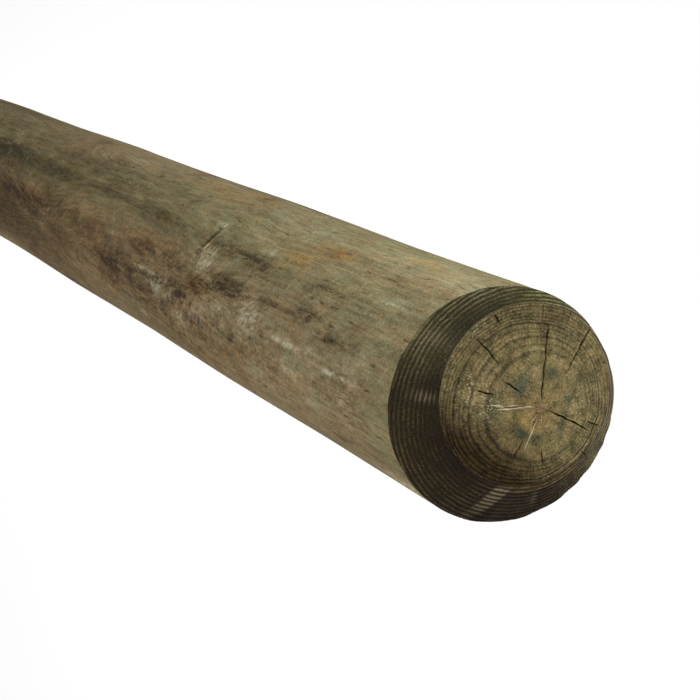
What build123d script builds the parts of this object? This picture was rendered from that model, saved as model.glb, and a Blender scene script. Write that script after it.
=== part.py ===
"""Peeled and treated pine pole: a tapering log sawn square at both ends, with a milled, checked top end."""

import os
from math import cos, radians, sin, tan

from build123d import *

os.makedirs("parts", exist_ok=True)

# Log, in millimetres, standing on its butt with the small end up
pole_length = 2400.0
top_diameter = 120.0
butt_diameter = 134.0

# Natural form: two lobed and three lobed departures from a circle, turning along the grain
oval_height = 2.0
oval_crest_angle = 50.0
oval_turn_angle = 40.0
flute_height = 0.3
flute_crest_angle = -45.0
flute_turn_angle = 50.0

# Whorls of trimmed branches, where the log swells a little; the lowest is at the butt
first_whorl_depth = 345.0
lower_whorl_count = 5
whorl_swell = 0.4

# Top end: flat face inside a chamfer milled by a conical head set off the log's axis
face_diameter = 93.0
chamfer_half_angle = 50.0
cutter_offset_x = -10.4
cutter_offset_y = 2.6
cutter_overrun = 20.0

# Heart of the log, which the drying checks run out from
pith_x = -8.0
pith_y = 14.0

# Checks: angle about the pith, then inner and outer ends, widest opening and depth as shares of the top radius
check_shares = (
    (-156.5, 0.085, 0.68, 0.022, 0.55),
    (-152.5, 0.74, 0.85, 0.015, 0.25),
    (90.5, 0.05, 0.47, 0.026, 0.60),
    (97.5, 0.44, 0.57, 0.018, 0.30),
    (172.0, 0.46, 0.80, 0.024, 0.45),
    (-109.0, 0.58, 0.91, 0.018, 0.35),
    (-124.5, 0.78, 0.93, 0.016, 0.30),
    (-99.0, 0.27, 0.41, 0.015, 0.25),
    (-80.0, 0.44, 0.61, 0.015, 0.25),
    (-3.5, 0.34, 0.48, 0.014, 0.25),
    (29.0, 0.37, 0.51, 0.014, 0.25),
)
check_foot_width_share = 0.15
check_foot_length_share = 0.50

# Nick across the grain in the side, by the first whorl, slanting down as the angle grows
nick_depth = 349.0
nick_angle = -105.5
nick_slant_angle = 29.0
nick_length = 18.0
nick_width = 4.0
nick_cut = 3.0

outline_point_count = 12

top_radius = top_diameter / 2
butt_radius = butt_diameter / 2
face_radius = face_diameter / 2
whorl_spacing = (pole_length - first_whorl_depth) / lower_whorl_count


def log_radius(depth, angle):
    """Radius of the log at a depth below the top end, in the direction of an angle in degrees."""
    along_share = depth / pole_length
    taper = (butt_radius - top_radius) * along_share
    oval = oval_height * cos(radians(2 * (angle - oval_crest_angle) - oval_turn_angle * along_share))
    flute = flute_height * cos(radians(3 * (angle - flute_crest_angle) - flute_turn_angle * along_share))
    swell = whorl_swell * cos(radians(360 * (depth - first_whorl_depth) / whorl_spacing))
    return top_radius + taper + oval + flute + swell


def log_outline(depth):
    """Points of the log's outline at a depth below the top end."""
    points = []
    for step in range(outline_point_count):
        angle = 360 * step / outline_point_count
        radius = log_radius(depth, angle)
        points.append((radius * cos(radians(angle)), radius * sin(radians(angle))))
    return points


def slit_outline(middle, half_length, half_width):
    """Corners of a slit that lies along X and is widest in its middle."""
    return (
        (middle - half_length, 0),
        (middle, -half_width),
        (middle + half_length, 0),
        (middle, half_width),
    )


# Sections at the top end, at each whorl and halfway between, down to the butt
steps_below = 2 * lower_whorl_count
lower_depths = [first_whorl_depth + whorl_spacing * step / 2 for step in range(steps_below)]
depths = [0, first_whorl_depth / 2, *lower_depths, pole_length]

with BuildPart() as pine_pole:
    # Log lofted down through its natural sections, from one square sawn end to the other
    for depth in depths:
        with BuildSketch(Plane.XY.offset(pole_length - depth)):
            with BuildLine():
                Spline(log_outline(depth), periodic=True)
            make_face()
    loft(ruled=True)

    # Chamfer: the head's cone leaves the flat face and runs out unevenly on the log's side
    spread = tan(radians(chamfer_half_angle))
    cutter_plane = Plane(
        origin=(cutter_offset_x, cutter_offset_y, pole_length),
        x_dir=(1, 0, 0),
        z_dir=(0, -1, 0),
    )
    with BuildSketch(cutter_plane):
        with BuildLine():
            Polyline(
                (face_radius - cutter_overrun * spread, cutter_overrun),
                (face_radius + top_radius * spread, -top_radius),
                (face_radius + top_radius * spread, cutter_overrun),
                close=True,
            )
        make_face()
    revolve(axis=Axis((cutter_offset_x, cutter_offset_y, 0), (0, 0, 1)), mode=Mode.SUBTRACT)

    # Drying checks: slim wedges, radial from the pith, closing with depth and towards both ends
    for angle, inner_share, outer_share, width_share, depth_share in check_shares:
        middle = top_radius * (inner_share + outer_share) / 2
        half_length = top_radius * (outer_share - inner_share) / 2
        half_width = top_radius * width_share / 2
        mouth_plane = Plane(
            origin=(pith_x, pith_y, pole_length),
            x_dir=(cos(radians(angle)), sin(radians(angle)), 0),
            z_dir=(0, 0, 1),
        )
        foot_length = half_length * check_foot_length_share
        foot_width = half_width * check_foot_width_share
        with BuildSketch(mouth_plane):
            with BuildLine():
                Polyline(*slit_outline(middle, half_length, half_width), close=True)
            make_face()
        with BuildSketch(mouth_plane.offset(-top_radius * depth_share)):
            with BuildLine():
                Polyline(*slit_outline(middle, foot_length, foot_width), close=True)
            make_face()
        loft(ruled=True, mode=Mode.SUBTRACT)

    # Nick: the same kind of wedge, across the side and pointing at the axis
    outward = (cos(radians(nick_angle)), sin(radians(nick_angle)), 0)
    level_share = cos(radians(nick_slant_angle))
    nick_radius = log_radius(nick_depth, nick_angle)
    nick_plane = Plane(
        origin=(nick_radius * outward[0], nick_radius * outward[1], pole_length - nick_depth),
        x_dir=(-outward[1] * level_share, outward[0] * level_share, -sin(radians(nick_slant_angle))),
        z_dir=outward,
    )
    with BuildSketch(nick_plane.offset(whorl_swell)):
        with BuildLine():
            Polyline(*slit_outline(0, nick_length / 2, nick_width / 2), close=True)
        make_face()
    with BuildSketch(nick_plane.offset(-nick_cut)):
        with BuildLine():
            Polyline(*slit_outline(0, nick_length / 4, nick_width / 8), close=True)
        make_face()
    loft(ruled=True, mode=Mode.SUBTRACT)

pine_pole.part.label = "pine_pole"
export_step(pine_pole.part, "parts/pine_pole.step")
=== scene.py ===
"""Looks for the pine pole: a dense, weathered log in place of the plain solid, with camera and light."""

from types import SimpleNamespace

import bpy
import numpy as np
from mathutils import Matrix, Vector


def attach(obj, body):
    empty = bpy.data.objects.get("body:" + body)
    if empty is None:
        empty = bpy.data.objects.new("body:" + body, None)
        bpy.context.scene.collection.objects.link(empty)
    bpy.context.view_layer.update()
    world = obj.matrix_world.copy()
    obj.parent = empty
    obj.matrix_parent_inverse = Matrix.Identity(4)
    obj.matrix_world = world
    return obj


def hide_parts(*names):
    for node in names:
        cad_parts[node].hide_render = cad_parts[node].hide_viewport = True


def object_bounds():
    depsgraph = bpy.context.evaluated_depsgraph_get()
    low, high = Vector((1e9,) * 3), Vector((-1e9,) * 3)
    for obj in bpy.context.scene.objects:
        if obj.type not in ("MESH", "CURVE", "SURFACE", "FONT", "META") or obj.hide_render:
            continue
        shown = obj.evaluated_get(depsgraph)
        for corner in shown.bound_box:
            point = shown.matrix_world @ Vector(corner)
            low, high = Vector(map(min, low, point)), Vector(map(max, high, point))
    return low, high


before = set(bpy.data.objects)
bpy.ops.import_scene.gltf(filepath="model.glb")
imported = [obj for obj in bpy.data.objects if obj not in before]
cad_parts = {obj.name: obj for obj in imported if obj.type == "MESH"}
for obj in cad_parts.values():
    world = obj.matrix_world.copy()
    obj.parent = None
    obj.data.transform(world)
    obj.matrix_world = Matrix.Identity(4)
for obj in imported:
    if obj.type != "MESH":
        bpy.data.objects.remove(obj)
cad_low, cad_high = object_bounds()

MM = 0.001
rng = np.random.default_rng(20)
ring_rng = np.random.default_rng(7)

# Log and its milled end, in millimetres, as in the part's source
pole_length = round((cad_high[2] - cad_low[2]) / MM)
top_radius, butt_radius = 60.0, 67.0
oval_height, oval_crest, oval_turn = 2.0, np.radians(50.0), np.radians(40.0)
flute_height, flute_crest, flute_turn = 0.3, np.radians(-45.0), np.radians(50.0)
first_whorl_depth, lower_whorl_count, whorl_swell = 345.0, 5, 0.4
face_radius = 46.5
cone_spread = np.tan(np.radians(50.0))
cutter = np.array([-10.4, 2.6])
pith = np.array([-8.0, 14.0])
pith_radius = 3.0
butt_bevel = 1.2

whorl_spacing = (pole_length - first_whorl_depth) / lower_whorl_count
whorl_depths = first_whorl_depth + whorl_spacing * np.arange(lower_whorl_count)

# Peeling: flats left by the knives and an edge frayed at the top, counted round the log
coarse_flat_count, coarse_flat_length = 23, 140.0
fine_flat_count, fine_flat_length, fine_flat_share = 47, 60.0, 0.6
flat_height, flat_middle = 0.4, 0.8
fray_count, fray_length, fray_height, fray_reach = 53, 9.0, 0.7, 25.0

# Drying checks on the top face: angle about the pith in degrees, then ends, lean, opening and depth
checks = (
    (-156.5, 3.4, 29.0, 0.0, 1.1, 6.0),
    (-157.2, 24.0, 41.0, 0.0, 1.45, 8.0),
    (-152.5, 44.4, 51.4, 0.0, 0.6, 4.0),
    (90.5, 2.8, 29.4, 0.0, 0.75, 9.0),
    (97.5, 27.0, 34.2, 0.0, 0.6, 4.0),
    (171.4, 20.5, 48.5, 3.4, 1.25, 7.0),
    (-109.0, 33.0, 54.6, 0.0, 0.5, 5.0),
    (-124.5, 47.0, 56.0, 0.0, 0.4, 4.0),
    (-99.0, 15.0, 24.6, 0.0, 0.65, 4.0),
    (-80.0, 26.4, 36.6, 0.0, 0.6, 4.0),
    (-3.5, 19.2, 32.0, 0.0, 1.0, 3.0),
    (29.0, 22.2, 30.6, 0.0, 0.8, 3.0),
    (70.5, 32.6, 41.0, 0.0, 0.6, 2.0),
    (-170.5, 44.2, 50.5, 0.0, 0.6, 3.0),
    (-67.6, 13.0, 21.0, 0.0, 0.7, 3.0),
)

# Pale splinters of torn fibre on the top face: angle about the pith, ends, lean and width
splinters = (
    (-66.0, 3.0, 24.0, 0.0, 1.5),
    (-69.5, 13.0, 28.5, 1.0, 1.4),
    (4.0, 6.0, 23.0, 0.0, 0.8),
    (-36.0, 3.0, 9.0, 0.0, 0.4),
    (30.0, 3.0, 8.5, 0.0, 0.35),
    (-12.0, 3.0, 9.5, 0.0, 0.35),
)
splinter_height = 0.3

# Slits wander by noises with a height, a length and a step of the seed; their edges fray by one more
slit_bends = ((0.8, 9.0, 0), (0.55, 2.6, 50))
slit_edge_length, slit_edge_seed = 3.4, 90
slit_edge_least, slit_edge_gain = 0.65, 0.7
slit_taper = 0.6
slit_cell_count = 64
check_seed, splinter_seed = 100, 300
check_wall_power, splinter_power = 0.8, 0.6
check_shade_gain = 1.7

# Growth rings: where their middles lie as they widen, and how they wander by lobes, phase and share
ring_radii = (0.0, 16.0, 28.0, 40.0, 66.0)
ring_middles_x = (-8.0, -7.8, -7.6, -7.5, -4.0)
ring_middles_y = (14.0, 13.2, 11.4, 5.0, 7.4)
ring_wanders = ((3, 0.6, 0.020), (5, 2.0, 0.012), (9, 0.0, 0.008))
wander_end_share = 1.1
ring_step_count, ring_step_share = 16, 0.6

# Inner rings, each with its radius, breadth of dark wood and strength; outer ones by their step
inner_rings = (
    (16.0, 3.2, 0.3),
    (29.1, 2.8, 0.45),
    (31.8, 1.5, 0.25),
    (34.9, 1.6, 0.55),
    (36.6, 1.1, 0.35),
    (38.1, 1.1, 0.4),
    (40.6, 1.4, 1.5),
    (42.3, 1.2, 0.45),
    (44.1, 1.2, 0.55),
)
outer_ring_step, outer_ring_spread, outer_ring_count = 1.92, 0.5, 20
outer_ring_strengths = (0.7, 1.0)
outer_dark_share = 0.6
ridge_crest, ridge_sharpness = 0.85, 1.5

# Outer rings of the face are clearer on some sides: angle about the pith in degrees and share
clear_ring_radius = 35.0
clear_shares = (
    (-180, 0.4), (-120, 0.45), (-75, 0.6), (-30, 1), (30, 1), (75, 1), (130, 0.95), (180, 0.4),
)

# Relief of the top end, which eases off where the chamfer is narrow
chamfer_ridge_height, face_ridge_height, fuzz_height = 0.42, 0.14, 0.05
smooth_ridge_loss = 0.7
full_relief_width, least_relief = 9.0, 0.05
crumb_count, crumb_seed, crumble_depth, crumble_width = 150, 4, 0.7, 0.8

# Round the cutter's axis, by angle in degrees: the smooth inner chamfer and the crumbled rim
smooth_width = 12.0
smooth_shares = (
    (-180, 0.2), (-150, 0.4), (-130, 1), (-15, 1), (5, 0.2), (40, 0.35), (70, 0.3), (180, 0.2),
)
crumble_shares = (
    (-180, 0.3), (-140, 0.5), (-110, 1), (-40, 1), (-20, 0.5), (20, 0.5), (60, 1), (180, 0.3),
)

# Also round that axis: torn beads inside the rim, and the chamfer's stain and painted shade, mould, rust,
# wear and ridges
bead_shares = ((-140, 0), (-120, 1), (-75, 1), (-50, 0))
bead_radii, bead_radius_shares = (37, 42, 46.5), (0, 0.5, 0.8)
bead_ring_loss = 0.6
stain_shade_shares = (
    (-180, 0), (-150, 0.1), (-130, 0.33), (-115, 0.57), (-104, 0.48), (-94, 0.28), (-70, 0.82), (-50, 0.77),
    (-30, 0.72), (-5, 0.84), (25, 1), (50, 0.95), (60, 0.7), (70, 0.4), (80, 0.1), (90, 0), (180, 0),
)
smooth_stain_shade_shares = ((-140, 0.3), (-120, 0.12), (-50, 0.08), (-30, 0.25), (-10, 0.1))
heel_shares = ((14, 0), (24, 1), (62, 1), (75, 0))
heel_width, heel_fade, heel_stain_shade_loss, heel_rust = 5.2, 1.0, 0.5, 0.2
mould_shares = ((-180, 0.8), (-150, 0.9), (-110, 0.7), (-80, 0.1), (180, 0))
rust_shares = ((-80, 0), (-50, 0.3), (0, 0.35), (25, 0.6), (60, 0.5), (80, 0))
worn_shares = ((64, 0), (78, 0.3), (95, 0.6), (130, 0.7), (150, 0.45), (180, 0.2))
ridge_shares = (
    (-180, 0.9), (-150, 0.95), (-130, 1.0), (-112, 0.9), (-95, 0.75), (-50, 0.6),
    (-30, 0.75), (-10, 0.8), (10, 1.2), (60, 1.3), (90, 1.2), (180, 1),
)

# Painted sheen across the chamfer: its two slanting edges in degrees, and its strength from the face out
chamfer_width = 19.0
sheen_start, sheen_start_slant, sheen_end, sheen_end_slant, sheen_fade = 9.3, 4.0, 21.5, 8.8, 1.5
sheen_outs, sheen_shares = (0, 0.12, 0.22, 0.4, 0.7, 1), (0, 0.85, 0.85, 0.7, 0.6, 0.15)

# Painted glints on the chamfer, then a smudge: angle, share of the way out, half width in degrees, strength
chamfer_glints_and_smudge = (
    (-65, 0.3, 3.0, 0.45), (-97, 0.45, 5.0, 0.35), (-128, 0.4, 5.0, 0.15), (37, 0.5, 1.5, 0.35),
)
glint_smudge_reach = 0.25

# Grey-green spots of the top face: place, half sizes, strength
face_spots = (
    (-13, -2, 5.5, 3.2, 2.0), (-25.5, 11.5, 2.4, 3.6, 1.9), (-18, 26, 4.5, 2.0, 1.2),
    (-4, 29, 4.0, 2.4, 1.0), (8, 9, 2.6, 5.0, 2.0), (7, 19, 2.6, 3.4, 1.2), (3, -10, 8.0, 5.0, 0.9),
    (-30, 27, 4.0, 3.0, 0.8), (-36, -36, 7.0, 7.0, 0.4), (-48, 4, 5.0, 18.0, 0.25),
)

# Rust by the pith and speckled areas of the top face, in the same way
face_rust = (0, 11, 11, 11, 1.0)
face_speckles = ((2, -20, 13, 13, 1.0), (-17, 32, 16, 9, 0.5))

# Soft shades of the top face: where each starts or ends, its width and its strength
side_shade_start, side_shade_width, side_shade_lean, side_shade_middle = 1.0, 27.0, 0.006, 5.0
rim_shade_start, rim_shade_width, rim_shade_end, rim_shade_fade, rim_shade = 22.0, 16.0, 26.0, 30.0, 0.4
low_shade_end, high_shade_start, low_high_width = -2.0, 26.0, 8.0
low_shade, high_shade = 0.2, 0.12

# Nick across the grain: depth, turn in degrees, length, width, cut and slope; then curls of fibre by it
nick_depth, nick_turn, nick_length, nick_width, nick_cut, nick_slope = 349.0, -15.5, 18.0, 7.0, 3.0, 0.55
nick_shade_gain, nick_shade_most = 1.9, 0.9
curl_step, curl_reach, curl_fade, curl_strength = 6.0, 26.0, 6.0, 1.2
curl_start, curl_overlap = 1.0, 2.0

# Marks on the side: depth below the top, degrees from -Y towards +X, half length, half width and strength
dark_marks = (
    (103, 7, 24, 4, 1.1), (150, 2, 18, 4, 1.1), (222, 5, 30, 4, 0.9), (290, 6, 30, 5, 1.2),
    (318, 11, 34, 3, 0.8), (372, 25, 22, 4, 1.2), (405, 24, 40, 5, 0.9), (62, 40, 14, 6, 0.6),
    (120, -16, 50, 2, 0.6), (285, -14, 50, 5, 0.7), (560, 29, 26, 5, 0.8), (118, 62, 12, 6, 0.7),
    (480, 24, 50, 8, 0.6), (640, 10, 60, 5, 0.4), (460, 8, 50, 5, 0.65), (345, 22, 12, 3, 0.6),
    (770, 9, 24, 7, 0.7), (860, 12, 70, 6, 0.6), (300, 25, 90, 18, 0.4), (90, 34, 40, 8, 0.4),
    (450, 37, 60, 8, 0.6),
)
# Soft dark marks: stains, and two at turn 60 that are painted shade along the edge of the log
shade_marks = (
    (920, 30, 260, 44, 0.8), (560, 28, 160, 26, 0.3), (480, -42, 140, 12, 0.35), (160, -40, 80, 9, 0.2),
    (720, -30, 240, 12, 0.5), (900, -40, 160, 18, 0.3), (330, 40, 60, 12, 0.3), (470, -15, 70, 6, 0.8),
    (620, -17, 90, 6, 0.65), (760, -15, 110, 7, 0.8), (890, -14, 130, 9, 1.05), (790, 38, 34, 8, 0.5),
    (660, -41, 28, 8, 0.6), (285, -14, 50, 6, 0.4), (282, 5, 24, 8, 0.5), (390, 24, 50, 6, 0.4),
    (460, 60, 100, 12, 0.25), (45, 60, 40, 10, 0.2),
)
light_marks = (
    (38, -50, 40, 10, 0.45), (92, -56, 50, 6, 0.4), (625, -50, 30, 4, 0.5), (766, 28, 12, 5, 0.9),
    (160, 36, 140, 26, 0.35), (300, 22, 60, 8, 0.5), (650, 48, 140, 20, 0.15), (650, 1, 60, 6, 0.3),
    (850, 4, 60, 5, 0.5), (450, -45, 50, 6, 0.3), (160, -45, 60, 8, 0.3), (45, 40, 40, 8, 0.5),
)
rugged_marks = (
    (330, 32, 200, 36, 1.0), (120, 24, 130, 34, 0.6), (560, 34, 180, 34, 0.7), (790, 18, 160, 24, 0.7),
)
green_marks = (
    (335, -28, 36, 10, 1.0), (300, -30, 80, 12, 0.6), (250, -14, 90, 8, 0.5), (470, -18, 190, 9, 0.8),
    (780, -16, 260, 12, 1.0), (590, -28, 170, 12, 0.8), (90, -18, 70, 14, 0.6), (60, -2, 34, 9, 0.5),
    (32, 26, 16, 26, 0.9), (232, 16, 12, 10, 0.6), (150, -62, 100, 12, 0.7), (950, -30, 160, 18, 0.7),
    (430, -40, 90, 12, 0.6), (800, 35, 30, 8, 0.6),
)
orange_marks = (
    (172, -38, 26, 5, 1.0), (205, -25, 18, 7, 1.0), (92, -55, 18, 4, 0.9), (340, 14, 24, 8, 0.5),
    (372, -60, 34, 5, 0.8), (150, 40, 130, 16, 0.2), (420, -52, 60, 7, 0.5), (460, 2, 60, 6, 0.6),
    (600, 30, 200, 30, 0.2), (360, 50, 160, 20, 0.25), (840, 50, 160, 30, 0.2), (700, 4, 160, 9, 0.4),
)
pale_marks = (
    (333, -2, 15, 6, 0.7), (235, 18, 26, 12, 0.6), (420, 27, 40, 9, 0.5), (380, 40, 20, 7, 0.6),
    (335, 30, 50, 12, 0.4), (234, 14, 9, 9, 0.9), (62, -22, 24, 1.7, 0.6), (170, 20, 24, 1.8, 1.0),
    (92, 23, 22, 1.8, 1.0), (90, 36, 6, 3, 0.8), (560, 8, 12, 2, 0.8), (460, 20, 32, 1.8, 0.9),
    (165, 34, 10, 3, 0.7), (378, 42, 12, 4, 0.8), (245, -22, 14, 3, 0.45), (277, -28, 12, 2, 0.45),
    (345, -26, 14, 4, 0.7), (430, 27, 20, 5, 0.6), (290, 20, 9, 2, 0.8), (495, 55, 12, 4, 0.7),
)
mark_fade = 0.9

# Stretch of the side that the listed marks and knots cover; random ones start below the first depth
first_random_depth = 20.0
listed_depth, listed_turn, listed_knot_turn = 960.0, 75.0, 80.0

# Random marks of each stain: count, half length, half width, strength; then the shares they vary between
random_dark, random_shade, random_light = (80, 40, 6, 1.0), (40, 150, 14, 0.7), (30, 60, 8, 0.7)
random_green, random_orange = (44, 130, 12, 0.9), (36, 60, 11, 0.8)
random_pale, random_rugged = (40, 40, 6, 0.9), (24, 130, 22, 1.0)
length_shares, width_shares, strength_shares = (0.5, 1.6), (0.6, 1.5), (0.4, 1.0)

# Knots that turn the grain: depth, turn in degrees, size; then the random ones at each whorl
listed_knots = ((343, 12, 24), (362, -61, 20), (768, 26, 38), (756, -56, 24))
knots_per_whorl, knot_depth_spread, knot_sizes = 5, 14.0, (14.0, 24.0)
knot_swell, knot_shade = 0.45, 0.5
grain_pinch, grain_bend = 4.0, 0.5

# Half sizes of a knot across and along the log, as shares of its size: bent grain, core and swelling
knot_halves = ((1.3, 3.2), (0.42, 0.55), (1.0, 1.6))

# Browner wood farther down, and more so on the +X side, between two turns in degrees
brown_start, brown_start_fade, brown_end, brown_end_fade = -8.0, 16.0, 160.0, 30.0
plain_brown_depths, plain_brown_shares = (350, 700), (0.0, 0.4)
full_brown_depths, full_brown_shares = (60, 300, 850), (0.35, 0.65, 0.95)

# Mesh: columns, crowded by each slit, and rows; each stretch of the side has its lower end and point count
column_count, fine_angle_count = 436, 7201
crowd_gain, crowd_reach = 4.0, np.radians(2.2)
face_rows, chamfer_rows = 50, 62
blend_depth = 30.0
blend_shares = (0.07, 0.27, 0.6)
side_stretches = ((300, 24), (322, 4), (364, 26), (430, 7), (1000, 20), (pole_length - butt_bevel, 28))
butt_shares = (1.0, 0.98, 0.9, 0.75, 0.6, 0.45, 0.3, 0.15)
halving_count = 40
noise_length = 512

# Map for baked colours: the top end and the butt as discs, the upper and lower side unrolled
map_split, map_slack = 1000.0, 1.0
end_map = SimpleNamespace(middle=(0.25, 0.75), span=260.0)
butt_map = SimpleNamespace(middle=(0.58, 0.92), span=1000.0)
upper_map = SimpleNamespace(corner=(0.005, 0.005), size=(0.99, 0.485))
lower_map = SimpleNamespace(corner=(0.51, 0.505), size=(0.48, 0.33))
fan_radius = 20.0

# Colours of the wood, as linear shares of red, green and blue; the side's run from dark to light
side_tones = (
    (0.08, (0.045, 0.032, 0.018)),
    (0.30, (0.122, 0.093, 0.048)),
    (0.50, (0.220, 0.180, 0.094)),
    (0.68, (0.305, 0.262, 0.150)),
    (0.92, (0.460, 0.410, 0.260)),
)
torn_fibre, side_pit = (0.59, 0.535, 0.39), (0.05, 0.036, 0.02)
soft_wood, dark_wood = (0.220, 0.172, 0.077), (0.050, 0.044, 0.034)
mould_grey, end_pit = (0.07, 0.08, 0.05), (0.03, 0.023, 0.012)
torn_crumb, heart_wood = (0.45, 0.385, 0.23), (0.33, 0.215, 0.125)
# The second groove and crest colours are the chamfer's dark stain with painted shade
clean_groove, stain_shade_groove = (0.044, 0.036, 0.017), (0.0076, 0.0056, 0.0040)
clean_crest, stain_shade_crest = (0.250, 0.217, 0.105), (0.040, 0.0275, 0.0130)
# The first colour below is painted sheen, glints and wear on the chamfer's ridges
sheen_and_wear_crest, milled_speck = (0.31, 0.25, 0.15), (0.34, 0.30, 0.22)
# The second colour below is painted shade inside the checks and the nick
splinter_wood, slit_shade_black = (0.55, 0.45, 0.29), (0.016, 0.011, 0.007)

# Tints that these colours are multiplied by
side_green, side_orange, side_brown = (0.84, 0.98, 0.86), (1.22, 0.93, 0.62), (1.08, 0.93, 0.87)
broad_cool, broad_warm = (0.95, 1.015, 1.04), (1.06, 0.985, 0.955)
fine_cool, fine_warm = (0.96, 1.01, 1.05), (1.045, 0.99, 0.95)
end_orange, end_dark = (1.25, 1.0, 0.72), (0.18, 0.145, 0.12)
end_cool, end_warm = (0.965, 1.015, 0.98), (1.02, 0.985, 0.98)
milled_green, milled_orange = (0.91, 1.0, 0.91), (1.3, 0.98, 0.7)

# Studio: white to the camera and in reflections, at softer levels for the light that it gives
white, floor_grey = (1, 1, 1, 1), (0.85, 0.85, 0.85, 1)
surroundings_light = 0.3
floor_half, floor_drop = 8.0, 0.0005
glow_distances, glow_levels = (0.8, 4.0), (0.46, 0.73)


def log_radius(depth, angle):
    """Radius of the log at a depth below the top, in the direction of an angle."""
    along = depth / pole_length
    taper = (butt_radius - top_radius) * along
    oval = oval_height * np.cos(2 * (angle - oval_crest) - oval_turn * along)
    flute = flute_height * np.cos(3 * (angle - flute_crest) - flute_turn * along)
    swell = whorl_swell * np.cos(2 * np.pi * (depth - first_whorl_depth) / whorl_spacing)
    return top_radius + taper + oval + flute + swell


def eased(part):
    """Smooth step between 0 and 1."""
    return part * part * (3 - 2 * part)


def rise(value, start, width):
    """Straight step from 0 at a start up to 1 over a width."""
    return np.clip((value - start) / width, 0, 1)


def fall(value, end, width):
    """Straight step from 1 down to 0 at an end, over a width."""
    return np.clip((end - value) / width, 0, 1)


def soft_spot(across, along):
    """Spot that is 1 in its middle and fades, from offsets as shares of its half sizes."""
    return np.exp(-(across**2) - along**2)


def smooth_noise(u, v, period, seed):
    """Value noise from 0 to 1 that repeats in u after a whole number of cells."""
    table = np.random.default_rng(seed).random((period, noise_length))
    column, row = np.floor(u).astype(int), np.floor(v).astype(int)
    part_u, part_v = eased(u - column), eased(v - row)

    def corner(right, up):
        return table[(column + right) % period, (row + up) % noise_length]

    low = corner(0, 0) * (1 - part_u) + corner(1, 0) * part_u
    high = corner(0, 1) * (1 - part_u) + corner(1, 1) * part_u
    return low * (1 - part_v) + high * part_v


def side_noise(depth, angle, count, length, seed):
    """Noise on the side, with a count of cells round the log and a length for each."""
    return smooth_noise(angle / (2 * np.pi) * count, depth / length, count, seed)


def peeled_radius(depth, angle):
    """Radius of the log with the flats left by the peeling knives and a frayed edge at the top."""
    flats = side_noise(depth, angle, coarse_flat_count, coarse_flat_length, seed=1)
    flats = flats + fine_flat_share * side_noise(depth, angle, fine_flat_count, fine_flat_length, seed=2)
    frayed = side_noise(depth, angle, fray_count, fray_length, seed=3) - 0.5
    frayed = frayed * np.exp(-depth / fray_reach)
    return log_radius(depth, angle) + flat_height * (flats - flat_middle) + fray_height * frayed


def chamfer_reach(turn):
    """Distance from the cutter's axis to where its cone meets the log's side, at each turn."""
    low = np.full_like(turn, face_radius)
    high = low + top_radius
    for _ in range(halving_count):
        reach = (low + high) / 2
        x = cutter[0] + reach * np.cos(turn)
        y = cutter[1] + reach * np.sin(turn)
        inside = np.hypot(x, y) < peeled_radius((reach - face_radius) / cone_spread, np.arctan2(y, x))
        low = np.where(inside, reach, low)
        high = np.where(inside, high, reach)
    return low


def ring_radius(x, y):
    """Radius of the growth ring through a point; the rings' middles shift as the rings widen."""
    radius = np.hypot(x - pith[0], y - pith[1])
    for _ in range(ring_step_count):
        middle_x = np.interp(radius, ring_radii, ring_middles_x)
        middle_y = np.interp(radius, ring_radii, ring_middles_y)
        radius = (1 - ring_step_share) * radius + ring_step_share * np.hypot(x - middle_x, y - middle_y)
    angle = np.arctan2(y - pith[1], x - pith[0])
    wander = sum(share * np.sin(lobes * angle + phase) for lobes, phase, share in ring_wanders)
    return radius * (1 + wander * np.clip(wander_end_share - radius / top_radius, 0, 1))


def ring_ridge(ring):
    """Relief of the dark wood, which stands proud: 0 in the soft wood, 1 on the ridge."""
    return (0.5 + 0.5 * np.cos(2 * np.pi * (ring - ridge_crest))) ** ridge_sharpness


def slit_share(x, y, angle, start, end, lean, width, seed):
    """How far inside a radial slit each point lies: 0 outside, 1 on its wandering middle line."""
    way_x, way_y = np.cos(np.radians(angle)), np.sin(np.radians(angle))
    along = (x - pith[0]) * way_x + (y - pith[1]) * way_y
    across = (y - pith[1]) * way_x - (x - pith[0]) * way_y

    def wander(length, seed_step):
        return smooth_noise(along / length, np.zeros_like(along), slit_cell_count, seed + seed_step)

    part = np.clip((along - start) / (end - start), 0, 1)
    middle = sum(height * (wander(length, seed_step) - 0.5) for height, length, seed_step in slit_bends)
    middle = middle + lean * (part - 0.5)
    half = width / 2 * (4 * part * (1 - part)) ** slit_taper
    half = half * (slit_edge_least + slit_edge_gain * wander(slit_edge_length, slit_edge_seed))
    inside = (along > start) & (along < end)
    return np.where(inside, np.clip(1 - np.abs(across - middle) / np.maximum(half, 1e-6), 0, 1), 0)


def distance_round(turn, mark_turn):
    """Distance round the side from a mark's turn in degrees, the short way."""
    off = (np.degrees(turn) - mark_turn + 180) % 360 - 180
    return np.radians(off) * top_radius


def marks_at(depth, turn, marks):
    """Strength of the strongest of a list of soft spots at each point of the side."""
    found = np.zeros_like(depth)
    for mark_depth, mark_turn, half_length, half_width, strength in marks:
        far = ((depth - mark_depth) / half_length) ** 2 + (distance_round(turn, mark_turn) / half_width) ** 2
        found = np.maximum(found, strength * np.exp(-mark_fade * far))
    return found


def scattered_marks(count, half_length, half_width, strength):
    """Random marks over the parts of the side that the listed marks leave bare."""
    made = []
    while len(made) < count:
        depth, turn = rng.uniform(first_random_depth, pole_length), rng.uniform(-180, 180)
        if depth > listed_depth or abs(turn) > listed_turn:
            size = (half_length * rng.uniform(*length_shares), half_width * rng.uniform(*width_shares))
            made.append((depth, turn, *size, strength * rng.uniform(*strength_shares)))
    return tuple(made)


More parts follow.
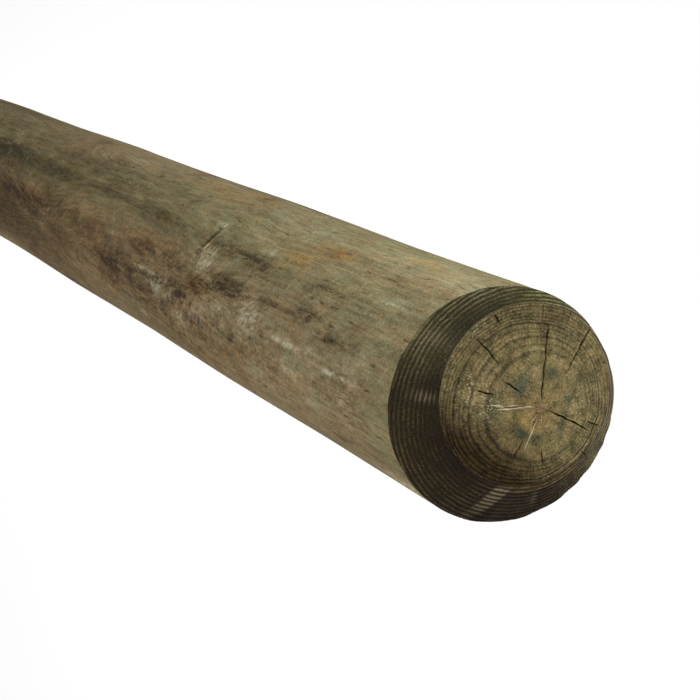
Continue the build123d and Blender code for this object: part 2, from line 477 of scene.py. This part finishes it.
# Rings by number, from the pith out
outer_steps = outer_ring_step + outer_ring_spread * (ring_rng.random(outer_ring_count) - 0.5)
inner_radii, inner_breadths, inner_strengths = (np.array(column) for column in zip(*inner_rings))
ring_marks = np.concatenate([[0.0], inner_radii, inner_radii[-1] + np.cumsum(outer_steps)])
dark_breadths = np.concatenate([inner_breadths, outer_dark_share * outer_steps])
outer_strengths = ring_rng.uniform(*outer_ring_strengths, outer_ring_count)
ring_strengths = np.concatenate([inner_strengths, outer_strengths])

# Columns of the mesh are straight lines from the pith, set closer together along the checks and splinters
fine_angles = np.linspace(-np.pi, np.pi, fine_angle_count)
density = np.ones_like(fine_angles)
for crowded in np.radians([slit[0] for slit in checks + splinters]):
    off = (fine_angles - crowded + np.pi) % (2 * np.pi) - np.pi
    density += crowd_gain * np.exp(-((off / crowd_reach) ** 2))
share = np.concatenate([[0], np.cumsum((density[1:] + density[:-1]) / 2)])
spoke = np.interp(np.arange(column_count) / column_count, share / share[-1], fine_angles)

# Edge of the flat face, then the chamfer's outer edge, on each column
spoke_x, spoke_y = np.cos(spoke), np.sin(spoke)
lead = (pith[0] - cutter[0]) * spoke_x + (pith[1] - cutter[1]) * spoke_y
spoke_reach = -lead + np.sqrt(lead**2 - ((pith - cutter) ** 2).sum() + face_radius**2)
rim_x, rim_y = pith[0] + spoke_reach * spoke_x, pith[1] + spoke_reach * spoke_y
cutter_turn = np.arctan2(rim_y - cutter[1], rim_x - cutter[0])
reach = chamfer_reach(cutter_turn)
edge_depth = (reach - face_radius) / cone_spread
side_angle = np.arctan2(cutter[1] + reach * np.sin(cutter_turn), cutter[0] + reach * np.cos(cutter_turn))

# Rows of the mesh, from the pith out and down to the butt: places, outward normals and zone of each
zeros, ones = np.zeros(column_count), np.ones(column_count)
rows, normals, zones = [], [], []


def add_row(zone, x, y, depth, normal):
    """Adds a row with one point on each column."""
    rows.append(np.stack([x, y, -depth], 1))
    normals.append(normal / np.linalg.norm(normal, axis=1, keepdims=True))
    zones.append(zone)


def add_round_row(zone, radius, depth, normal):
    """Adds a row round the log's axis."""
    add_row(zone, radius * np.cos(side_angle), radius * np.sin(side_angle), depth, normal)


up = np.stack([zeros, zeros, ones], 1)
cone_normal = np.stack([np.cos(cutter_turn), np.sin(cutter_turn), ones * cone_spread], 1)
side_normal = np.stack([np.cos(side_angle), np.sin(side_angle), zeros], 1)
for step in range(1, face_rows):
    out = step / face_rows
    add_row("face", pith[0] + out * (rim_x - pith[0]), pith[1] + out * (rim_y - pith[1]), zeros, up)
for step in range(chamfer_rows + 1):
    at = face_radius + (reach - face_radius) * step / chamfer_rows
    x, y = cutter[0] + at * np.cos(cutter_turn), cutter[1] + at * np.sin(cutter_turn)
    add_row("chamfer", x, y, (at - face_radius) / cone_spread, cone_normal)
side_depths = [blend_depth]
for lower_end, point_count in side_stretches:
    side_depths.extend(np.linspace(side_depths[-1], lower_end, point_count)[1:])
blend_rows = [edge_depth + part * (blend_depth - edge_depth) for part in blend_shares]
for down in blend_rows + [ones * depth for depth in side_depths]:
    add_round_row("side", peeled_radius(down, side_angle), down, side_normal)
butt_edge = log_radius(ones * pole_length, side_angle) - butt_bevel
for out in butt_shares:
    add_round_row("butt", butt_edge * out, ones * pole_length, -up)
row_count = len(rows)
place = np.concatenate([[[pith[0], pith[1], 0]], *rows, [[0, 0, -pole_length]]])
normal = np.concatenate([up[:1], *normals, -up[:1]])
zone = np.array(["face"] + [name for name in zones for _ in range(column_count)] + ["butt"])
on_face, on_chamfer, on_side, on_butt = (zone == name for name in ("face", "chamfer", "side", "butt"))
on_end = on_face | on_chamfer

# Natural coordinates of each point
x, y, depth = place[:, 0], place[:, 1], -place[:, 2]
turn = np.arctan2(x, -y)
from_pith = np.hypot(x - pith[0], y - pith[1])
about_pith = np.degrees(np.arctan2(y - pith[1], x - pith[0]))
from_cutter = np.hypot(x - cutter[0], y - cutter[1])
about_cutter = np.degrees(np.arctan2(y - cutter[1], x - cutter[0]))


def round_cutter(shares):
    """Share at each point by its angle about the cutter's axis, from a list of angles and shares."""
    return np.interp(about_cutter, *zip(*shares))


# Growth rings at each point: number and part, breadth of the dark wood and its strength
grown = ring_radius(x, y)
ring = np.interp(grown, ring_marks, np.arange(len(ring_marks)))
ring_number = np.clip(ring.astype(int), 0, len(dark_breadths) - 1)
late_span = dark_breadths[ring_number] / np.diff(ring_marks)[ring_number]
late_strength = ring_strengths[ring_number]
clear = np.interp(about_pith, *zip(*clear_shares))
late_strength = np.where(on_face & (grown > clear_ring_radius), clear * late_strength, late_strength)

# Smooth, nearly black part of the chamfer next to the flat face
smooth = round_cutter(smooth_shares)
smooth *= on_chamfer * fall(from_cutter, face_radius + smooth_width, smooth_width)

# Relief of the top end: ridges of dark wood, fuzz from the saw, drying checks and splinters
ridge = ring_ridge(ring)
ease = np.ones(len(place))
edge_ease = np.clip((reach - face_radius) / full_relief_width, least_relief, 1)
ease[on_chamfer] = np.tile(edge_ease, chamfer_rows + 1)
lift = on_chamfer * chamfer_ridge_height * (ridge - 0.5) * ease * (1 - smooth_ridge_loss * smooth)
lift += on_face * face_ridge_height * (ridge - 0.5)
lift += on_end * fuzz_height * ease * rng.standard_normal(len(place))
crumb_places = (about_cutter / 360 % 1) * crumb_count
crumbled = smooth_noise(crumb_places, np.zeros(len(place)), crumb_count, crumb_seed)
crumbled *= round_cutter(crumble_shares)
crumbled *= np.exp(-(((from_cutter - face_radius) / crumble_width) ** 2))
lift -= on_end * crumble_depth * ease * crumbled
# Painted shade inside each check, and later the nick
split = np.zeros(len(place))
for number, (*slit, deep) in enumerate(checks):
    within = slit_share(x, y, *slit, check_seed + number) * on_end
    lift -= deep * within**check_wall_power * ease
    split = np.maximum(split, np.clip(check_shade_gain * within, 0, 1))
splinter = np.zeros(len(place))
for number, slit in enumerate(splinters):
    within = slit_share(x, y, *slit, splinter_seed + number) * on_face
    lift += splinter_height * within
    splinter = np.maximum(splinter, within**splinter_power)

# Relief of the side: swellings at the knots, which the grain runs round
knots = list(listed_knots)
for whorl_depth in whorl_depths:
    for _ in range(knots_per_whorl):
        knot_depth = whorl_depth + rng.normal(0, knot_depth_spread)
        knot_turn, size = rng.uniform(-180, 180), rng.uniform(*knot_sizes)
        if knot_depth > listed_depth or abs(knot_turn) > listed_knot_turn:
            knots.append((knot_depth, knot_turn, size))
grain_turn = turn.copy()
knot_share, swelling = np.zeros(len(place)), np.zeros(len(place))
for knot_depth, knot_turn, size in knots:
    across, along = distance_round(turn, knot_turn), depth - knot_depth
    near, core, mound = (
        soft_spot(across / (half_across * size), along / (half_along * size))
        for half_across, half_along in knot_halves
    )
    aside = np.sign(across) * (1 - np.exp(-np.abs(across) / grain_pinch))
    grain_turn += aside * near * grain_bend * size / top_radius
    knot_share, swelling = np.maximum(knot_share, core), np.maximum(swelling, mound)
lift += on_side * knot_swell * swelling

# Nick in the side, with painted shade inside it
nick_off = distance_round(turn, nick_turn)
nick_share = np.clip(1 - np.abs(depth - nick_depth - nick_slope * nick_off) / (nick_width / 2), 0, 1)
nick_share *= np.clip(1 - (nick_off / (nick_length / 2)) ** 2, 0, 1) * on_side
lift -= nick_cut * nick_share
split = np.maximum(split, np.clip(nick_shade_gain * nick_share, 0, nick_shade_most))

place = place + normal * lift[:, None]
place[:, 2] += pole_length


def side_stain(listed, count, half_length, half_width, strength):
    """Strength of a stain on the side, from listed marks and a count of random ones."""
    marks = listed + scattered_marks(count, half_length, half_width, strength)
    return marks_at(depth, turn, marks) * on_side


# Stains of the side, and a little painted shade among the shade marks, as strengths for the material to
# break up
dark = side_stain(dark_marks, *random_dark)
green = side_stain(green_marks, *random_green)
orange = side_stain(orange_marks, *random_orange)
pale = side_stain(pale_marks, *random_pale)
shade = side_stain(shade_marks, *random_shade)
shade = np.maximum(shade, knot_shade * knot_share * on_side)
shade -= side_stain(light_marks, *random_light)
rugged = side_stain(rugged_marks, *random_rugged)

# Pale curls of fibre above the nick, on the +X side of it
nick_far = np.hypot(depth - nick_depth, nick_off)
curls = (0.5 + 0.5 * np.cos(2 * np.pi * nick_far / curl_step)) * np.exp(-((nick_far / curl_reach) ** 2))
curls *= rise(nick_off, curl_start, curl_fade) * fall(depth, nick_depth + curl_overlap, curl_fade)
pale = np.maximum(pale, curl_strength * curls * on_side * (1 - nick_share))

# Browner wood on the +X side and farther down
degrees = np.degrees(turn)
browner_half = rise(degrees, brown_start, brown_start_fade) * fall(degrees, brown_end, brown_end_fade)
brown = np.interp(depth, plain_brown_depths, plain_brown_shares) * (1 - browner_half)
brown += np.interp(depth, full_brown_depths, full_brown_shares) * browner_half
brown *= on_side


def face_spot(spot_x, spot_y, half_x, half_y, strength):
    """Soft spot on the top face."""
    return on_face * strength * soft_spot((x - spot_x) / half_x, (y - spot_y) / half_y)


# Stains of the top face: mould, rust by the pith, four soft shades, two speckled areas and beads by the rim
for spot in face_spots:
    green = np.maximum(green, face_spot(*spot))
orange = np.maximum(orange, face_spot(*face_rust))
shaded_side = (x - side_shade_start) / side_shade_width - side_shade_lean * (y - side_shade_middle)
shaded_rim = rim_shade * rise(from_cutter, rim_shade_start, rim_shade_width)
shaded_rim *= fall(y, rim_shade_end, rim_shade_fade)
shaded_low = low_shade * fall(y, low_shade_end, low_high_width)
shaded_high = high_shade * rise(y, high_shade_start, low_high_width)
shaded = np.maximum.reduce([np.clip(shaded_side, 0, 1), shaded_rim, shaded_low, shaded_high])
dark = np.maximum(dark, on_face * shaded)
speckled = sum(face_spot(*speckle) for speckle in face_speckles)
beaded = np.interp(from_cutter, bead_radii, bead_radius_shares) * round_cutter(bead_shares)
beaded *= on_face
pale = np.maximum(pale, np.maximum(np.clip(speckled, 0, 1), beaded))
late_strength = late_strength * (1 - bead_ring_loss * beaded)

# Shades of the chamfer: stain and painted shade, mould, rust, painted sheen and glints, wear, a smudge and
# the ridges' strength
heel = round_cutter(heel_shares) * fall(from_cutter, face_radius + heel_width, heel_fade)
# Dark stain on the chamfer, with painted shade that is strongest on the side turned away from the key lamp
stain_shade = round_cutter(stain_shade_shares) + round_cutter(smooth_stain_shade_shares) * smooth
dark = np.maximum(dark, on_chamfer * np.clip(stain_shade - heel_stain_shade_loss * heel, 0, 1))
green = np.maximum(green, on_chamfer * round_cutter(mould_shares))
orange = np.maximum(orange, on_chamfer * (round_cutter(rust_shares) + heel_rust * heel))
out = (from_cutter - face_radius) / chamfer_width
# Painted sheen: a pale patch on the ridges where light is reflected
sheen_and_wear = rise(about_cutter, sheen_start - sheen_start_slant * out, sheen_fade)
sheen_and_wear *= fall(about_cutter, sheen_end - sheen_end_slant * out, sheen_fade)
sheen_and_wear *= np.interp(out, sheen_outs, sheen_shares)
sheen_and_wear = np.maximum(sheen_and_wear, round_cutter(worn_shares))
# Painted glints of sheen, and one smudge
for glint_smudge_angle, glint_smudge_out, half_width, strength in chamfer_glints_and_smudge:
    glint_smudge = soft_spot((about_cutter - glint_smudge_angle) / half_width, (out - glint_smudge_out) / glint_smudge_reach)
    sheen_and_wear = np.maximum(sheen_and_wear, strength * glint_smudge)
pale = np.maximum(pale, on_chamfer * sheen_and_wear)
rugged = rugged + on_chamfer * round_cutter(ridge_shares)

# One closed mesh: a fan at the pith, bands of quads and a fan at the butt
first = 1 + np.arange(row_count)[:, None] * column_count + np.arange(column_count)
after = np.roll(first, -1, axis=1)
quads = np.stack([first[:-1], first[1:], after[1:], after[:-1]], -1).reshape(-1, 4)
top_fan = np.stack([zeros.astype(int), first[0], after[0]], 1)
butt_fan = np.stack([zeros.astype(int) + len(place) - 1, after[-1], first[-1]], 1)
mesh = bpy.data.meshes.new("pine_log")
mesh.from_pydata((place * MM).tolist(), [], top_fan.tolist() + quads.tolist() + butt_fan.tolist())
mesh.shade_smooth()

# Numbers and places on the mesh that the material reads
floats = dict(ring=ring, late_span=late_span, late_strength=late_strength, split=split, splinter=splinter)
floats.update(smooth=smooth, pale=pale, brown=brown, shade=shade, rugged=rugged)
floats.update(green=green, orange=orange, dark=dark, flat_end=on_face | on_butt, chamfer=on_chamfer)
for name, values in floats.items():
    mesh.attributes.new(name, "FLOAT", "POINT").data.foreach_set("value", values.astype(np.float32))
from_axis = np.hypot(x, y)
ray = np.radians(about_pith)
vectors = {
    "grain": np.stack([from_axis * np.sin(grain_turn), -from_axis * np.cos(grain_turn), depth], 1) * MM,
    "fan": np.stack([fan_radius * np.cos(ray), fan_radius * np.sin(ray), from_pith], 1) * MM,
}
for name, values in vectors.items():
    flat = values.astype(np.float32).ravel()
    mesh.attributes.new(name, "FLOAT_VECTOR", "POINT").data.foreach_set("vector", flat)


def disc_places(points, disc):
    """Places on the map of points of a flat end."""
    return np.stack([disc.middle[0] + x[points] / disc.span, disc.middle[1] + y[points] / disc.span], -1)


def strip_places(along, around, strip):
    """Places on the map of points of the side, from their shares along and around it."""
    return np.stack([strip.corner[0] + strip.size[0] * along, strip.corner[1] + strip.size[1] * around], -1)


def band_kind(upper, lower):
    """Which part of the map the quads between two rows go to, from the zones of the rows."""
    if upper == "butt":
        return "butt"
    return "end" if lower in ("face", "chamfer") else "side"


# Map for baked colours, corner by corner in the order of the faces
kinds = [band_kind(upper, lower) for upper, lower in zip(zones[:-1], zones[1:])]
kind = np.repeat(kinds, column_count)[:, None, None]
quad_depth = depth[quads]
quad_columns = np.arange(column_count)[:, None] + np.array([0, 0, 1, 1])
quad_around = np.tile(quad_columns, (row_count - 1, 1)) / column_count
is_upper = (quad_depth.max(1) <= map_split + map_slack)[:, None, None]
quad_places = np.select(
    (kind == "end", kind == "butt", is_upper),
    (
        disc_places(quads, end_map),
        disc_places(quads, butt_map),
        strip_places(quad_depth / map_split, quad_around, upper_map),
    ),
    strip_places((quad_depth - map_split) / (pole_length - map_split), quad_around, lower_map),
)
map_places = (disc_places(top_fan, end_map), quad_places, disc_places(butt_fan, butt_map))
corners = np.concatenate([places.reshape(-1, 2) for places in map_places])
bake_map = mesh.uv_layers.new(name="OFBake")
bake_map.data.foreach_set("uv", corners.astype(np.float32).ravel())

log = bpy.data.objects.new("pine_log", mesh)
bpy.context.scene.collection.objects.link(log)


class Graph:
    """Short ways to add and join the nodes of a shader."""

    def __init__(self, tree):
        self.tree = tree

    def add(self, kind, values=None, **settings):
        """Adds a node; a value that is another node's output is linked, any other is set."""
        made = self.tree.nodes.new(kind)
        for key, value in settings.items():
            setattr(made, key, value)
        for socket, value in (values or {}).items():
            if isinstance(value, bpy.types.NodeSocket):
                self.tree.links.new(value, made.inputs[socket])
            else:
                made.inputs[socket].default_value = value
        return made

    def math(self, operation, first, *others, clamp=False):
        """Joins values by an operation, from left to right."""
        for other in others:
            made = self.add("ShaderNodeMath", {0: first, 1: other}, operation=operation, use_clamp=clamp)
            first = made.outputs[0]
        return first

    def times(self, *values, clamp=False):
        """Product of values."""
        return self.math("MULTIPLY", *values, clamp=clamp)

    def plus(self, *values, clamp=False):
        """Sum of values."""
        return self.math("ADD", *values, clamp=clamp)

    def minus(self, *values):
        """First value less the others."""
        return self.math("SUBTRACT", *values)

    def most(self, *values):
        """Largest of values."""
        return self.math("MAXIMUM", *values)

    def fraction(self, value):
        """Part of a value after its whole number."""
        return self.add("ShaderNodeMath", {0: value}, operation="FRACT").outputs[0]

    def swing(self, *layers):
        """Sum of noises that swing about zero, each with its weight."""
        return self.plus(*(self.times(self.minus(noise, 0.5), weight) for noise, weight in layers))

    def noise(self, where, scale, detail=3.0, stretch=1.0, rough=0.55):
        """Noise that is drawn out along the log by a stretch below 1."""
        moved = self.add("ShaderNodeMapping", {"Vector": where, "Scale": (1, 1, stretch)}).outputs[0]
        values = {"Vector": moved, "Scale": scale, "Detail": detail, "Roughness": rough}
        return self.add("ShaderNodeTexNoise", values).outputs["Fac"]

    def dots(self, where, scale, share, size=0.42):
        """Crisp dots in a random share of small cells."""
        cells = self.add("ShaderNodeTexVoronoi", {"Vector": where, "Scale": scale})
        pick = self.add("ShaderNodeSeparateColor", {0: cells.outputs["Color"]}).outputs[0]
        round_dot = self.band(cells.outputs["Distance"], size, 0.6 * size)
        return self.times(self.band(pick, 1 - share, 1.03 - share), round_dot)

    def band(self, value, low, high, to_low=0.0, to_high=1.0):
        """Smooth step of a value between two levels, to two others."""
        values = {"Value": value, "From Min": low, "From Max": high, "To Min": to_low, "To Max": to_high}
        return self.add("ShaderNodeMapRange", values, interpolation_type="SMOOTHSTEP").outputs["Result"]

    def blend(self, first, second, share, how="MIX"):
        """Colour between two, by a share of the second."""
        first, second = ((*colour, 1) if isinstance(colour, tuple) else colour for colour in (first, second))
        values = {"Factor": share, 6: first, 7: second}
        return self.add("ShaderNodeMix", values, data_type="RGBA", blend_type=how).outputs[2]

    def tint(self, colour, by, share=1.0):
        """Colour multiplied by another, by a share."""
        return self.blend(colour, by, share, "MULTIPLY")

    def tone(self, colour, value):
        """Colour made darker or lighter by a factor."""
        grey = self.add("ShaderNodeCombineColor", {0: value, 1: value, 2: value}).outputs[0]
        return self.tint(colour, grey)

    def ramp(self, value, stops):
        """Colour chosen by a value from stops, each with its place and colour."""
        made = self.add("ShaderNodeValToRGB", {"Fac": value})
        marks = made.color_ramp.elements
        while len(marks) < len(stops):
            marks.new(1.0)
        for mark, (position, colour) in zip(marks, stops):
            mark.position = position
            mark.color = (*colour, 1)
        return made.outputs["Color"]

    def attribute(self, name, output="Fac"):
        """Number, or place, kept on the mesh under a name."""
        return self.add("ShaderNodeAttribute", attribute_name=name).outputs[output]


def new_material(name):
    """Material with no nodes yet, and its graph."""
    material = bpy.data.materials.new(name)
    material.use_nodes = True
    material.node_tree.nodes.clear()
    return material, Graph(material.node_tree)


def side_look(graph, at):
    """Weathered side: blotches, fibres and grit choose a tone from dark brown to khaki; stains tint it."""
    slanted = graph.add("ShaderNodeMapping", {"Vector": at.grain, "Rotation": (0, -0.45, 0)}).outputs[0]
    blotch = graph.noise(at.grain, 46, 6.0, stretch=0.3, rough=0.7)
    fibre = graph.noise(at.grain, 420, 4.0, stretch=0.08, rough=0.65)
    fleck = graph.noise(slanted, 230, 4.0, stretch=0.4, rough=0.72)
    grit = graph.noise(at.where, 800, 2.0, stretch=0.7, rough=0.6)
    torn = graph.band(fleck, 0.34, 0.62, 0.3, 1.15)
    broken = graph.band(graph.noise(at.grain, 150, 5.0, stretch=0.22, rough=0.7), 0.40, 0.60, 0.1, 1.35)

    # Tone, darkened in places by painted shade, then stains and uneven hues, broad and fine
    patches = graph.swing((blotch, 0.75), (fleck, 0.8))
    patches = graph.times(patches, graph.band(at.rugged, 0.0, 1.0, 0.42, 1.5))
    tone = graph.plus(graph.swing((fibre, 0.7), (grit, 0.6)), patches, 0.5)
    tone = graph.minus(tone, graph.times(at.dark, broken, 0.36), graph.times(at.shade, 0.36))
    tone = graph.plus(tone, graph.times(at.pale, torn, 0.22))
    side = graph.ramp(tone, side_tones)
    side = graph.tint(side, side_green, graph.times(at.green, torn, clamp=True))
    side = graph.tint(side, side_orange, graph.times(at.orange, torn, clamp=True))
    side = graph.tint(side, side_brown, at.brown)
    hue = graph.band(graph.noise(at.grain, 70, 4.0, stretch=0.4, rough=0.7), 0.36, 0.64)
    side = graph.tint(side, graph.blend(broad_cool, broad_warm, hue))
    hue = graph.band(graph.noise(slanted, 240, 3.0, stretch=0.35, rough=0.7), 0.34, 0.66)
    side = graph.tint(side, graph.blend(fine_cool, fine_warm, hue))

    # Pale scratches across the grain, chips and shreds of torn fibre, and dark pits
    scratch = graph.band(graph.noise(at.grain, 90, 3.0, stretch=4.5, rough=0.6), 0.6, 0.72)
    scratched = graph.band(graph.noise(at.where, 30, 2.0, stretch=0.5), 0.5, 0.68)
    scratch = graph.times(scratch, graph.band(grit, 0.42, 0.62), scratched, 0.8)
    chips = graph.band(graph.noise(slanted, 270, 5.0, stretch=0.28, rough=0.78), 0.51, 0.57)
    chips = graph.times(chips, graph.band(at.pale, 0.1, 0.75))
    shreds = graph.band(graph.noise(at.grain, 560, 4.0, stretch=0.2, rough=0.75), 0.5, 0.6)
    shreds = graph.times(shreds, graph.band(at.pale, 0.3, 0.9, 0.0, 0.8))
    chips = graph.times(graph.most(chips, shreds), 0.85)
    side = graph.blend(side, torn_fibre, graph.most(scratch, chips))
    pits = graph.band(graph.noise(at.grain, 360, 2.0, stretch=0.16, rough=0.5), 0.64, 0.74)
    side = graph.blend(side, side_pit, graph.times(pits, 0.75))

    height = graph.plus(graph.times(fibre, 0.6), graph.times(grit, 0.3), graph.times(fleck, 0.8))
    return side, graph.minus(height, graph.times(pits, 0.3)), torn


def end_look(graph, at, late, grit):
    """Sawn end: growth rings, soft pale wood and grey-green dark wood, speckles of torn fibre and pits."""
    mottle = graph.noise(at.where, 170, 5.0, rough=0.72)
    frayed = graph.noise(at.fan, 2400, 3.0, stretch=0.22, rough=0.6)
    hue = graph.band(graph.noise(at.where, 85, 4.0, rough=0.7), 0.36, 0.64)
    strength = graph.plus(at.late_strength, graph.times(at.dark, 0.5), clamp=True)
    patchy = graph.band(graph.noise(at.where, 75, 3.0), 0.3, 0.6, 0.45, 1.0)
    late = graph.times(late, graph.times(strength, patchy))

    end = graph.blend(soft_wood, dark_wood, late)
    end = graph.tint(end, end_orange, graph.times(at.orange, 0.5))
    mould = graph.times(at.green, graph.band(mottle, 0.36, 0.58, 0.4, 1.0), clamp=True)
    end = graph.blend(end, mould_grey, graph.times(mould, 0.85))
    end = graph.tone(end, graph.band(mottle, 0.28, 0.72, 0.5, 1.45))
    end = graph.tone(end, graph.band(at.pale, 0.3, 1.0, 1.0, 1.25))
    end = graph.tone(end, graph.band(frayed, 0.3, 0.7, 0.68, 1.3))
    end = graph.tint(end, graph.blend(end_cool, end_warm, hue))
    end = graph.tone(end, graph.band(grit, 0.3, 0.7, 0.68, 1.28))

    pits = graph.times(graph.dots(at.where, 700, 0.2), graph.band(mottle, 0.57, 0.42))
    end = graph.blend(end, end_pit, graph.times(pits, 0.85))
    crumbs = graph.times(graph.dots(at.where, 760, 0.36, size=0.5), graph.band(at.pale, 0.0, 0.8, 0.1, 1.0))
    end = graph.blend(end, torn_crumb, graph.times(crumbs, graph.band(late, 0.1, 0.5, 1.0, 0.3)))
    end = graph.tint(end, end_dark, at.dark)
    heart = pith_radius / inner_radii[0]
    return graph.blend(end, heart_wood, graph.band(at.ring, heart, 0.5 * heart))


def milled_look(graph, at, turns, grit):
    """Milled chamfer: nearly black soft wood between paler ridges, smoother next to the flat face."""
    usual_ridge = 0.2
    ridge = graph.times(graph.band(turns, 0.35, 0.8), graph.band(turns, 1.0, 0.88))
    worn = graph.band(graph.noise(at.where, 70, 5.0, rough=0.7), 0.34, 0.66, 0.1, 1.1)
    worn = graph.times(worn, graph.band(at.smooth, 0.0, 0.8, 1.0, 0.2))
    proud = graph.times(graph.minus(graph.times(ridge, worn), usual_ridge), at.rugged)
    proud = graph.plus(proud, usual_ridge, clamp=True)
    # Groove and crest darken by the chamfer's stain and painted shade
    groove = graph.blend(clean_groove, stain_shade_groove, at.dark)
    crest = graph.blend(clean_crest, stain_shade_crest, at.dark)
    milled = graph.blend(groove, crest, proud)
    milled = graph.tint(milled, milled_green, at.green)
    milled = graph.tint(milled, milled_orange, at.orange)
    milled = graph.tone(milled, graph.band(grit, 0.3, 0.7, 0.55, 1.45))
    # Painted sheen and glints, and wear, make the ridges pale
    milled = graph.blend(milled, sheen_and_wear_crest, graph.times(at.pale, graph.band(ridge, 0.0, 1.0, 0.12, 1.0)))
    return graph.blend(milled, milled_speck, graph.times(graph.dots(at.where, 560, 0.012), 0.5))


def pine_material():
    """Treated pine: khaki to brown side, ringed end and nearly black milled chamfer."""
    material, graph = new_material("treated_pine")
    at = SimpleNamespace(**{name: graph.attribute(name) for name in floats})
    at.grain, at.fan = graph.attribute("grain", "Vector"), graph.attribute("fan", "Vector")
    at.where = graph.add("ShaderNodeTexCoord").outputs["Object"]

    # Wavering rings: turns runs from 0 to 1 across each, and late is the dark wood at its outer end
    wobble = graph.minus(graph.noise(at.where, 150, 6.0, rough=0.75), 0.5)
    wobble = graph.times(wobble, graph.times(at.late_span, 1.5))
    turns = graph.fraction(graph.plus(at.ring, wobble))
    start = graph.minus(1.0, at.late_span)
    full = graph.minus(1.0, graph.times(at.late_span, 0.65))
    fade = graph.minus(1.0, graph.times(at.late_span, 0.3))
    late = graph.times(graph.band(turns, start, full), graph.band(turns, 1.0, fade))
    grit = graph.noise(at.where, 1100, 2.0, rough=0.6)

    side, side_height, torn = side_look(graph, at)
    end = end_look(graph, at, late, grit)
    milled = milled_look(graph, at, turns, grit)
    colour = graph.blend(graph.blend(side, end, at.flat_end), milled, at.chamfer)
    colour = graph.blend(colour, splinter_wood, graph.times(at.splinter, 0.9))
    # Painted shade inside the checks and the nick
    colour = graph.blend(colour, slit_shade_black, at.split)
    rough = graph.minus(graph.band(torn, 0.3, 1.1, 0.74, 0.9), graph.times(at.chamfer, 0.22))

    end_height = graph.plus(graph.times(late, 0.3), graph.times(grit, 0.8))
    cut = graph.most(at.flat_end, at.chamfer)
    height = graph.add("ShaderNodeMix", {"Factor": cut, 2: side_height, 3: end_height}).outputs[0]
    bump = graph.add("ShaderNodeBump", {"Height": height, "Strength": 0.7, "Distance": 0.0007}).outputs[0]
    values = {"Base Color": colour, "Roughness": rough, "Normal": bump, "Specular IOR Level": 0.05}
    shader = graph.add("ShaderNodeBsdfPrincipled", values)
    graph.add("ShaderNodeOutputMaterial", {"Surface": shader.outputs[0]})
    return material


mesh.materials.append(pine_material())
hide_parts("pine_pole")
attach(log, "root")

# Camera, as fitted to the photo: where it stands, what it looks at and which way is up in the picture
eye = Vector((-0.0049, -0.4912, 3.3120))
aim = Vector((0.0062, -0.0909, 2.3957))
picture_up = Vector((-0.9040, -0.3876, -0.1802))
back = (eye - aim).normalized()
right = picture_up.cross(back).normalized()
camera_data = bpy.data.cameras.new("camera")
camera_data.sensor_width = 36.0
camera_data.lens = 108.0
camera = bpy.data.objects.new("camera", camera_data)
camera_turn = Matrix((right, back.cross(right), back)).transposed().to_4x4()
camera.matrix_world = Matrix.Translation(eye) @ camera_turn
bpy.context.scene.collection.objects.link(camera)
bpy.context.scene.camera = camera


def lamp(name, place, target, size, watts):
    """Square soft light that points at a target."""
    data = bpy.data.lights.new(name, "AREA")
    data.size = size
    data.energy = watts
    made = bpy.data.objects.new(name, data)
    made.location = place
    made.rotation_euler = (Vector(place) - Vector(target)).to_track_quat("Z", "Y").to_euler()
    bpy.context.scene.collection.objects.link(made)


lamp("key", (-1.25, -0.55, 3.1), (0.0, 0.0, 2.3), 0.9, 30)
lamp("fill", (1.3, -0.75, 2.9), (0.0, 0.0, 2.2), 1.0, 12)
lamp("rim", (0.6, 2.2, 2.4), (0.0, 0.0, 1.2), 2.0, 16)


def seeing_rays(graph):
    """1 for rays from the camera, in reflections and through glass, 0 for all others."""
    path = graph.add("ShaderNodeLightPath").outputs
    return graph.most(path["Is Camera Ray"], path["Is Glossy Ray"], path["Is Transmission Ray"])


def floor_material():
    """Pale floor that keeps shadows, with a glow that brings it up to white where it is seen."""
    material, graph = new_material("floor")
    where = graph.add("ShaderNodeTexCoord").outputs["Object"]
    away = graph.add("ShaderNodeVectorMath", {0: where}, operation="LENGTH").outputs["Value"]
    level = graph.times(seeing_rays(graph), graph.band(away, *glow_distances, *glow_levels))
    lit = graph.add("ShaderNodeBsdfDiffuse", {"Color": floor_grey})
    glow = graph.add("ShaderNodeEmission", {"Color": white, "Strength": level})
    both = graph.add("ShaderNodeAddShader", {0: lit.outputs[0], 1: glow.outputs[0]})
    graph.add("ShaderNodeOutputMaterial", {"Surface": both.outputs[0]})
    return material


# White surroundings to the camera and in reflections, at a softer level for the light that they give
world = bpy.data.worlds.new("studio")
bpy.context.scene.world = world
world.use_nodes = True
surroundings = Graph(world.node_tree)
background = world.node_tree.nodes["Background"]
background.inputs["Color"].default_value = white
level = surroundings.band(seeing_rays(surroundings), 0.0, 1.0, surroundings_light, 1.0)
world.node_tree.links.new(level, background.inputs["Strength"])

# Floor, a little below the butt
floor_mesh = bpy.data.meshes.new("floor")
floor_signs = ((-1, -1), (1, -1), (1, 1), (-1, 1))
floor_corners = [(sign_x * floor_half, sign_y * floor_half, 0) for sign_x, sign_y in floor_signs]
floor_mesh.from_pydata(floor_corners, [], [(0, 1, 2, 3)])
floor_mesh.materials.append(floor_material())
floor = bpy.data.objects.new("floor", floor_mesh)
floor.location.z = -floor_drop
bpy.context.scene.collection.objects.link(floor)

bpy.context.scene.view_settings.view_transform = "Standard"
